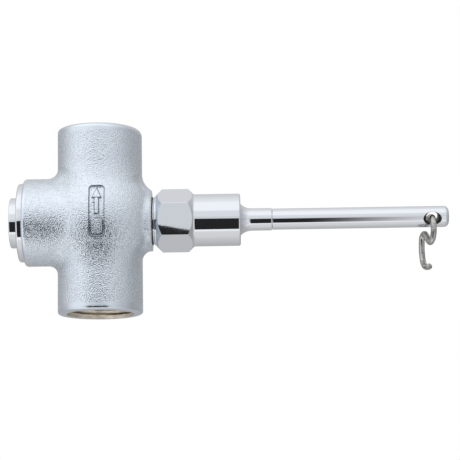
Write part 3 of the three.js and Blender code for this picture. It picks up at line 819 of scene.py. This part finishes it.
def hex_chamfers(start, end):
    """The turned shape that the hexagon's corners are cut to."""
    corner = HEX["across_flats"] / math.sqrt(3)
    left, right = HEX["chamfers"]
    corners = [
        [start, 0],
        [start, corner - left],
        [start + left, corner + 0.02, 0.15],
        [end - right, corner + 0.02, 0.15],
        [end, corner - right],
        [end, 0],
    ]
    return turned("chamfers", corners, FINE)


# ---- lever
def lever_hub():
    """The lever's root, from its flange in the housing to the rod."""
    start, end, flange = ends("lever_hub")
    mouth = ends("lever_housing")[1]
    flange_start, flange_end = HUB["flange"]
    corners = [
        [start, 0],
        [start, HUB["foot"], 0.2],
        [flange_start, flange, 0.2],
        [flange_end, flange, 0.2],
        [flange_end, HUB["neck"], 0.2],
        [mouth - 2, HUB["neck_end"], 0.5],
        [mouth, HUB["flare"]],
        [mouth + HUB["flare_length"], HUB["radius"], 6],
        [end, HUB["radius"], 0.35],
        [end, HUB["socket"], 0.2],
        [HUB["socket_from"], HUB["socket"]],
        [HUB["socket_from"], 0],
    ]
    hub = turned("lever_hub_look", corners, FINE)
    hub.data.materials.append(bright_chrome())
    return flatten_normals(hub)


def lever_rod():
    """The polished rod with its cross hole."""
    start, end, radius = ends("lever_rod")
    shoulder = ends("lever_hub")[1] + ROD["joint"]
    corners = [
        [start, 0],
        [start, ROD["screw"], 0.4],
        [shoulder, ROD["screw"]],
        [shoulder, radius, 0.35],
        [end, radius, ROD["tip_rounding"]],
        [end, 0],
    ]
    rod = turned("lever_rod_look", corners, FINE)
    rod.data.materials.append(bright_chrome())
    return flatten_normals(combine(rod, eye_tool(radius + EYE["past_rod"])))


def eye_tool(mouth):
    """The cross hole as the solid that cuts it, from -mouth to mouth along its own axis."""
    straight = mouth - EYE["sink_depth"]
    corners = [
        [-mouth, 0],
        [-mouth, EYE["sink"]],
        [-straight, EYE["radius"], 0.8],
        [straight, EYE["radius"], 0.8],
        [mouth, EYE["sink"]],
        [mouth, 0],
    ]
    hole = turned("eye", corners, MEDIUM, upright=True)
    to_origin = Matrix.Translation(Vector((0, 0, -AXIS * MM)))
    lean = Matrix.Rotation(EYE["roll"] - math.pi / 2, 4, "X")
    to_place = Matrix.Translation(Vector((EYE["at"] * MM, 0, AXIS * MM)))
    hole.data.transform(to_place @ lean @ to_origin)
    hole.data.materials.append(shaded_hole_steel())
    return hole


# ---- hook
def smooth_route(route, steps=10):
    """A centripetal Catmull-Rom curve through the points."""
    route = np.array(route, float)
    route = np.vstack([2 * route[0] - route[1], route, 2 * route[-1] - route[-2]])
    knots = np.concatenate([[0], np.cumsum(np.sqrt(np.linalg.norm(np.diff(route, axis=0), axis=1)))])
    curve = []
    for k in range(1, len(route) - 2):
        for t in np.linspace(knots[k], knots[k + 1], steps, endpoint=False):
            curve.append(between(route, knots, t, k - 1, k + 2, k))
    curve.append(route[-2])
    return np.array(curve)


def between(route, knots, t, first, last, k):
    """The curve's point at t, in the stretch after point k, from the points first to last."""
    if first == last:
        return route[first]
    low, high = (knots[k], knots[k + 1]) if last - first == 3 else (knots[first], knots[last])
    share = (t - low) / (high - low)
    before = between(route, knots, t, first, last - 1, k)
    after = between(route, knots, t, first + 1, last, k)
    return before * (1 - share) + after * share


def chain_hook():
    """The S-shaped wire hook that the chain hangs from."""
    centres = smooth_route([[EYE["at"] + x, y, z] for x, y, z in HOOK_ROUTE])
    hook = swept("chain_hook_look", centres, HOOK_WIRE, HOOK_SIDES)
    hook.data.materials.append(wire_steel())
    return hook


# ---- springs
def coil_spring(node, wire, turns):
    """A compression spring in a CAD spring's place, its first and last turns closed up."""
    start, end, outer = ends(node)
    length = end - start - 2 * wire
    closed = CLOSED_PITCH * wire
    steps = np.arange(turns * SPRING_STEPS + 1) / SPRING_STEPS
    places = np.interp(steps, [0, 1, turns - 1, turns], [0, closed, length - closed, length])
    angles = 2 * np.pi * steps
    coil = outer - wire
    centres = np.stack([start + wire + places, coil * np.cos(angles), coil * np.sin(angles)], axis=1)
    spring = swept(f"{node}_look", centres, wire, SPRING_SIDES)
    spring.data.materials.append(spring_wire())
    return spring


# ---- shader nodes
class Graph:
    """A node tree with short ways to add nodes. Each method returns the new node's output socket."""

    def __init__(self, tree):
        self.tree = tree

    def add(self, kind, *values, output=0, **settings):
        """A node whose first inputs are fed with values, each a number, a colour, a socket or None."""
        node = self.tree.nodes.new(kind)
        for name, setting in settings.items():
            setattr(node, name, setting)
        for socket, value in zip([s for s in node.inputs if s.enabled], values):
            self.feed(socket, value)
        return node.outputs[output]

    def feed(self, socket, value):
        """Links a socket to the input, or sets the input to a value. None leaves it as it is."""
        if isinstance(value, bpy.types.NodeSocket):
            self.tree.links.new(value, socket)
        elif value is not None:
            socket.default_value = value

    def math(self, operation, *values):
        """One step of arithmetic."""
        return self.add("ShaderNodeMath", *values, operation=operation)

    def between(self, value, low, high):
        """0 where the value is low, 1 where it is high, smooth between."""
        return self.add("ShaderNodeMapRange", value, low, high, interpolation_type="SMOOTHSTEP")

    def spread(self, value, low, high):
        """Stretches a value that runs from 0 to 1 to run from low to high."""
        return self.add("ShaderNodeMapRange", value, 0, 1, low, high)

    def place(self):
        """Where the shaded point is on the piece, in metres."""
        return self.add("ShaderNodeTexCoord", output="Object")

    def stretched(self, place, along):
        """A place whose axes are scaled, so that noise on it is drawn out."""
        return self.add("ShaderNodeVectorMath", place, along, operation="MULTIPLY")

    def noise(self, place, size_mm, detail=2):
        """Noise around 0.5 whose lumps are about size_mm across."""
        node = self.add("ShaderNodeTexNoise").node
        self.feed(node.inputs["Vector"], place)
        node.inputs["Scale"].default_value = 1 / (size_mm * MM)
        node.inputs["Detail"].default_value = detail
        return node.outputs[0]

    def bump(self, height, height_mm, under=None):
        """The normal of a surface raised by a height, on top of the bumps under it."""
        node = self.add("ShaderNodeBump").node
        node.inputs["Strength"].default_value = 1
        node.inputs["Distance"].default_value = height_mm * MM
        self.feed(node.inputs["Height"], height)
        self.feed(node.inputs["Normal"], under)
        return node.outputs["Normal"]

    def ramp(self, value, stops):
        """A colour ramp over the value. Stops are pairs of place and colour, lowest first."""
        node = self.add("ShaderNodeValToRGB", value).node
        elements = node.color_ramp.elements
        elements.remove(elements[1])
        elements[0].position = stops[0][0]
        elements[0].color = (*stops[0][1], 1)
        for place, colour in stops[1:]:
            elements.new(place).color = (*colour, 1)
        return node.outputs["Color"]

    def scaled(self, colour, factor):
        """A colour made brighter or darker by a factor."""
        return self.add("ShaderNodeVectorMath", colour, (factor,) * 3, operation="MULTIPLY")

    def mix(self, share, first, second, blend="MIX"):
        """The first colour at share 0, the second, or their blend, at share 1."""
        node = self.add("ShaderNodeMix", data_type="RGBA", blend_type=blend).node
        for socket, value in zip((node.inputs[0], node.inputs[6], node.inputs[7]), (share, first, second)):
            self.feed(socket, value)
        return node.outputs[2]


def new_material(name, base, metallic, roughness):
    """A material with a Principled surface. Returns it, its graph and the surface's sockets."""
    material = bpy.data.materials.new(name)
    material.use_nodes = True
    surface = material.node_tree.nodes["Principled BSDF"].inputs
    surface["Base Color"].default_value = (*base, 1)
    surface["Metallic"].default_value = metallic
    surface["Roughness"].default_value = roughness
    return material, Graph(material.node_tree), surface


def once(make):
    """Makes a material the first time that it is asked for, and gives the same one after that."""
    kept = []

    def get():
        if not kept:
            kept.append(make())
        return kept[0]

    return get


# ---- materials
@once
def rough_chrome():
    """Chrome plate over the sand-cast skin of the body, smooth where the casting was turned."""
    material, graph, surface = new_material("rough_chrome", PLATE, 1, 0.2)
    place = graph.place()
    parts = graph.add("ShaderNodeSeparateXYZ", place).node.outputs
    from_middle = graph.math("ABSOLUTE", graph.math("SUBTRACT", parts["Z"], AXIS * MM))
    turned_rim = graph.between(from_middle, *((HALF_HEIGHT - depth) * MM for depth in TURNED_RIM))
    turned_edge = graph.between(parts["X"], *((BODY_LOW[0] + depth) * MM for depth in TURNED_EDGE))
    cast = graph.math("SUBTRACT", 1, graph.math("MAXIMUM", turned_rim, turned_edge))
    grain, lumps = (
        graph.math("MULTIPLY", graph.math("SUBTRACT", graph.noise(place, size, 1), 0.5), cast)
        for size in (GRAIN_SIZE, LUMP_SIZE)
    )
    normal = graph.bump(grain, GRAIN_HEIGHT, graph.bump(lumps, LUMP_HEIGHT))
    graph.feed(surface["Normal"], normal)
    graph.feed(surface["Roughness"], graph.spread(graph.noise(place, 4, 2), 0.2, 0.28))
    # the plate's colour is lighter and darker at random, on the cast skin only
    plate_mottle = graph.between(graph.noise(place, MOTTLE_SIZE, 2), 0.35, 0.65)
    plate_mottle = graph.math("MULTIPLY_ADD", graph.math("SUBTRACT", plate_mottle, 0.5), cast, 0.5)
    plate = graph.mix(plate_mottle, PLATE_LOW, PLATE_HIGH)
    # painted shade: the plate's colour darkens along the flow mark's walls
    painted_shade = graph.add("ShaderNodeAttribute", attribute_name="mark_wall_shade", output="Fac")
    graph.feed(surface["Base Color"], graph.mix(painted_shade, plate, PLATE_PAINTED_SHADE))
    return material


@once
def bright_chrome():
    """Polished chrome plate with a faint waviness and fine handling marks."""
    material, graph, surface = new_material("bright_chrome", (0.85, 0.875, 0.925), 1, 0.05)
    place = graph.place()
    drawn = graph.stretched(place, (0.08, 1, 1))
    waves = graph.bump(graph.noise(place, 7, 1), 0.003)
    graph.feed(surface["Normal"], graph.bump(graph.noise(drawn, 0.35, 2), 0.0003, waves))
    graph.feed(surface["Roughness"], graph.spread(graph.noise(place, 3, 3), 0.01, 0.035))
    return material


@once
def brass():
    """Machined brass, darkened a little in its hollows."""
    material, graph, surface = new_material("brass", (0.66, 0.57, 0.45), 1, 0.35)
    place = graph.place()
    stain = graph.between(graph.noise(place, 3.5, 3), 0.4, 0.65)
    graph.feed(surface["Base Color"], graph.mix(stain, (0.78, 0.71, 0.61, 1), (0.60, 0.52, 0.43, 1)))
    graph.feed(surface["Roughness"], graph.spread(graph.noise(place, 1.5, 2), 0.28, 0.46))
    graph.feed(surface["Normal"], graph.bump(graph.noise(place, 0.4, 2), 0.02))
    return material


@once
def stainless():
    """Turned stainless steel with fine rings round the lever's axis."""
    material, graph, surface = new_material("stainless", (0.58, 0.57, 0.55), 1, 0.28)
    rings = graph.noise(graph.stretched(graph.place(), (1, 0.05, 0.05)), 0.25, 2)
    graph.feed(surface["Normal"], graph.bump(rings, 0.01))
    graph.feed(surface["Roughness"], graph.spread(rings, 0.2, 0.36))
    return material


@once
def shaded_hole_steel():
    """The unplated wall of the lever's cross hole: bare steel with random stains, its colour made very dark
    as painted shade inside the hole.
    """
    material, graph, surface = new_material("shaded_hole_steel", (0.16, 0.15, 0.145), 1, 0.35)
    place = graph.place()
    stain = graph.noise(place, 0.8, 3)
    # painted shade: both colours are far darker than bare steel, for the shade inside the hole
    graph.feed(surface["Base Color"], graph.mix(stain, (0.06, 0.055, 0.05, 1), (0.24, 0.23, 0.22, 1)))
    graph.feed(surface["Roughness"], graph.spread(stain, 0.3, 0.5))
    return material


@once
def wire_steel():
    """Drawn steel wire, with dull streaks along it."""
    material, graph, surface = new_material("wire_steel", (0.46, 0.45, 0.43), 1, 0.3)
    wire = graph.add("ShaderNodeUVMap", uv_map="wire")
    streaks = graph.noise(graph.stretched(wire, (0.00012, 0.004, 1)), 0.5, 3)
    blotches = graph.noise(graph.place(), 0.9, 3)
    worn = graph.math("MULTIPLY_ADD", blotches, 0.3, graph.math("MULTIPLY", streaks, 0.7))
    tone = graph.between(worn, 0.36, 0.64)
    graph.feed(surface["Base Color"], graph.mix(tone, (0.28, 0.27, 0.26, 1), (0.68, 0.67, 0.65, 1)))
    graph.feed(surface["Roughness"], graph.spread(streaks, 0.14, 0.3))
    graph.feed(surface["Normal"], graph.bump(streaks, 0.02))
    return material


@once
def spring_wire():
    """Drawn stainless spring wire, with fine marks along it."""
    material, graph, surface = new_material("spring_wire", (0.58, 0.57, 0.55), 1, 0.25)
    wire = graph.add("ShaderNodeUVMap", uv_map="wire")
    marks = graph.noise(graph.stretched(wire, (0.0002, 0.004, 1)), 0.4, 3)
    graph.feed(surface["Roughness"], graph.spread(marks, 0.15, 0.35))
    graph.feed(surface["Normal"], graph.bump(marks, 0.01))
    return material


@once
def rubber():
    """Matt black rubber."""
    material, graph, surface = new_material("rubber", (0.02, 0.02, 0.021), 0, 0.7)
    place = graph.place()
    graph.feed(surface["Roughness"], graph.spread(graph.noise(place, 1.5, 3), 0.55, 0.85))
    graph.feed(surface["Normal"], graph.bump(graph.noise(place, 0.3, 3), 0.02))
    return material


@once
def fibre():
    """Pressed gasket fibre, mottled dark brown."""
    material, graph, surface = new_material("fibre", (0.05, 0.04, 0.034), 0, 0.9)
    place = graph.place()
    mottle = graph.noise(graph.stretched(place, (2.5, 1, 1)), 0.5, 4)
    graph.feed(surface["Base Color"], graph.mix(mottle, (0.03, 0.024, 0.02, 1), (0.10, 0.08, 0.065, 1)))
    graph.feed(surface["Normal"], graph.bump(mottle, 0.05))
    return material


@once
def nylon():
    """Turned nylon, off-white."""
    material, graph, surface = new_material("nylon", (0.80, 0.78, 0.70), 0, 0.45)
    surface["Subsurface Weight"].default_value = 0.1
    place = graph.place()
    graph.feed(surface["Roughness"], graph.spread(graph.noise(place, 2, 2), 0.35, 0.55))
    graph.feed(surface["Normal"], graph.bump(graph.noise(place, 0.4, 2), 0.01))
    return material


MATERIALS = {
    "rough_chrome": rough_chrome,
    "bright_chrome": bright_chrome,
    "brass": brass,
    "stainless": stainless,
    "wire_steel": wire_steel,
    "rubber": rubber,
    "fibre": fibre,
    "nylon": nylon,
}


# ---- studio
def tinted(level, warmth):
    """A light's colour. Above 0 it is warm, below 0 cool."""
    return (level * (1 + warmth), level, level * (1 - warmth))


def world():
    """A white studio, seen in reflections only: the camera itself sees plain white."""
    made = bpy.data.worlds.new("studio")
    bpy.context.scene.world = made
    made.use_nodes = True
    graph = Graph(made.node_tree)
    direction = graph.add("ShaderNodeTexCoord", output="Generated")
    parts = graph.add("ShaderNodeSeparateXYZ", direction).node.outputs
    forward = graph.math("MULTIPLY", parts["Y"], -1)
    height = graph.math("MULTIPLY_ADD", graph.math("ARCSINE", parts["Z"]), 1 / math.pi, 0.5)
    bearing = graph.math("MULTIPLY_ADD", graph.math("ARCTAN2", parts["X"], forward), 0.5 / math.pi, 0.5)
    front, back = (
        graph.ramp(height, [(row[0] / 180 + 0.5, tinted(*row[1:])) for row in rows])
        for rows in (FRONT_LIGHT, BACK_LIGHT)
    )
    # a ramp holds 1 at most, so the walls' light goes through it scaled down
    walls = graph.ramp(bearing, [(row[0] / 360 + 0.5, (row[1] / WALL_SCALE,) * 3) for row in WALL_LIGHT])
    level = graph.math("SQRT", graph.math("SUBTRACT", 1, graph.math("MULTIPLY", parts["Z"], parts["Z"])))
    light = graph.mix(graph.between(forward, -0.25, 0.25), back, front)
    light = graph.mix(level, light, graph.mix(1.0, light, graph.scaled(walls, WALL_SCALE), "MULTIPLY"))
    seen = graph.mix(graph.add("ShaderNodeLightPath", output="Is Camera Ray"), light, (1, 1, 1, 1))
    background = made.node_tree.nodes["Background"].inputs
    graph.feed(background["Color"], seen)


def black_card():
    """A card standing in front of the valve, fading out towards its right end."""
    corners = [(CARD["left"], CARD["bottom"]), (CARD["fade_to"], CARD["bottom"]), *CARD_TOP]
    mesh = bpy.data.meshes.new("black_card")
    points = [(x * MM, -CARD["distance"] * MM, (z + AXIS) * MM) for x, z in corners]
    mesh.from_pydata(points, [], [tuple(range(len(points)))])
    card = in_scene("black_card", mesh)
    material = bpy.data.materials.new("black_card")
    material.use_nodes = True
    material.node_tree.nodes.clear()
    graph = Graph(material.node_tree)
    across = graph.add("ShaderNodeSeparateXYZ", graph.place()).node.outputs["X"]
    fade = graph.between(across, CARD["fade_from"] * MM, CARD["fade_to"] * MM)
    glow = graph.add("ShaderNodeEmission", graph.spread(fade, CARD_BLACK, CARD_FADED))
    output = graph.tree.nodes.new("ShaderNodeOutputMaterial")
    graph.feed(output.inputs["Surface"], glow)
    mesh.materials.append(material)
    card.visible_camera = False
    card.visible_diffuse = False
    card.visible_shadow = False
    card.visible_transmission = False


def camera():
    """The photograph's view, from the front and a little below."""
    data = bpy.data.cameras.new("camera")
    data.sensor_width = 36
    data.lens = data.sensor_width / 2 * CAMERA_DISTANCE / HALF_VIEW
    data.clip_start, data.clip_end = 0.01, 20
    made = in_scene("camera", data)
    aim = Vector((AIM[0], AIM[1], AIM[2] + AXIS)) * MM
    back = Vector((0, -math.cos(CAMERA_PITCH), -math.sin(CAMERA_PITCH)))
    upright = Matrix.Rotation(math.pi / 2 + CAMERA_PITCH, 4, "X") @ Matrix.Rotation(-CAMERA_ROLL, 4, "Z")
    made.matrix_world = Matrix.Translation(aim + back * CAMERA_DISTANCE * MM) @ upright
    bpy.context.scene.camera = made


def floor():
    """A plain pale floor under the valve, left out of reflections."""
    mesh = bpy.data.meshes.new("floor")
    turns = [(-1, -1), (1, -1), (1, 1), (-1, 1)]
    corners = [(x * FLOOR_SIZE * MM, y * FLOOR_SIZE * MM, -FLOOR_DROP * MM) for x, y in turns]
    mesh.from_pydata(corners, [], [(0, 1, 2, 3)])
    made = in_scene("floor", mesh)
    material, graph, surface = new_material("floor", (0.86, 0.86, 0.86), 0, 0.9)
    graph.feed(surface["Roughness"], graph.spread(graph.noise(graph.place(), 40, 2), 0.8, 0.95))
    mesh.materials.append(material)
    made.visible_glossy = False


# ---- assembly
def put(piece, body, slot, *nodes):
    """Puts a finished piece on its body, in place of its CAD nodes."""
    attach(piece, body)
    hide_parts(*nodes)


def put_spring(node, wire):
    """A coil spring in place of a CAD spring, put on the body with a mesh of its own."""
    spring = coil_spring(node, wire, SPRING_TURNS)
    put(spring, "body", "stainless", node)
    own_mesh(spring)


def plain_looks():
    """Materials for the CAD nodes that are shown as they are."""
    for row in frame["record"]["subparts"]:
        materials = frame["nodes"][row["node"]].data.materials
        materials.clear()
        materials.append(MATERIALS[row["material_slot"]]())


def main():
    """Sets up the studio, gives every CAD node its look and puts the finer pieces in place."""
    bpy.context.scene.view_settings.view_transform = "Standard"
    camera()
    world()
    floor()
    black_card()
    plain_looks()
    put(valve_body(), "body", "rough_chrome", "valve_body")
    put(end_cap(), "body", "bright_chrome", "end_cap")
    put(lever_housing(), "body", "bright_chrome", "lever_housing")
    put(lever_hub(), "lever", "bright_chrome", "lever_hub")
    put(lever_rod(), "lever", "bright_chrome", "lever_rod")
    put(chain_hook(), "hook", "wire_steel", "chain_hook")
    put_spring("closing_spring", CLOSING_WIRE)
    put_spring("return_spring", RETURN_WIRE)


main()
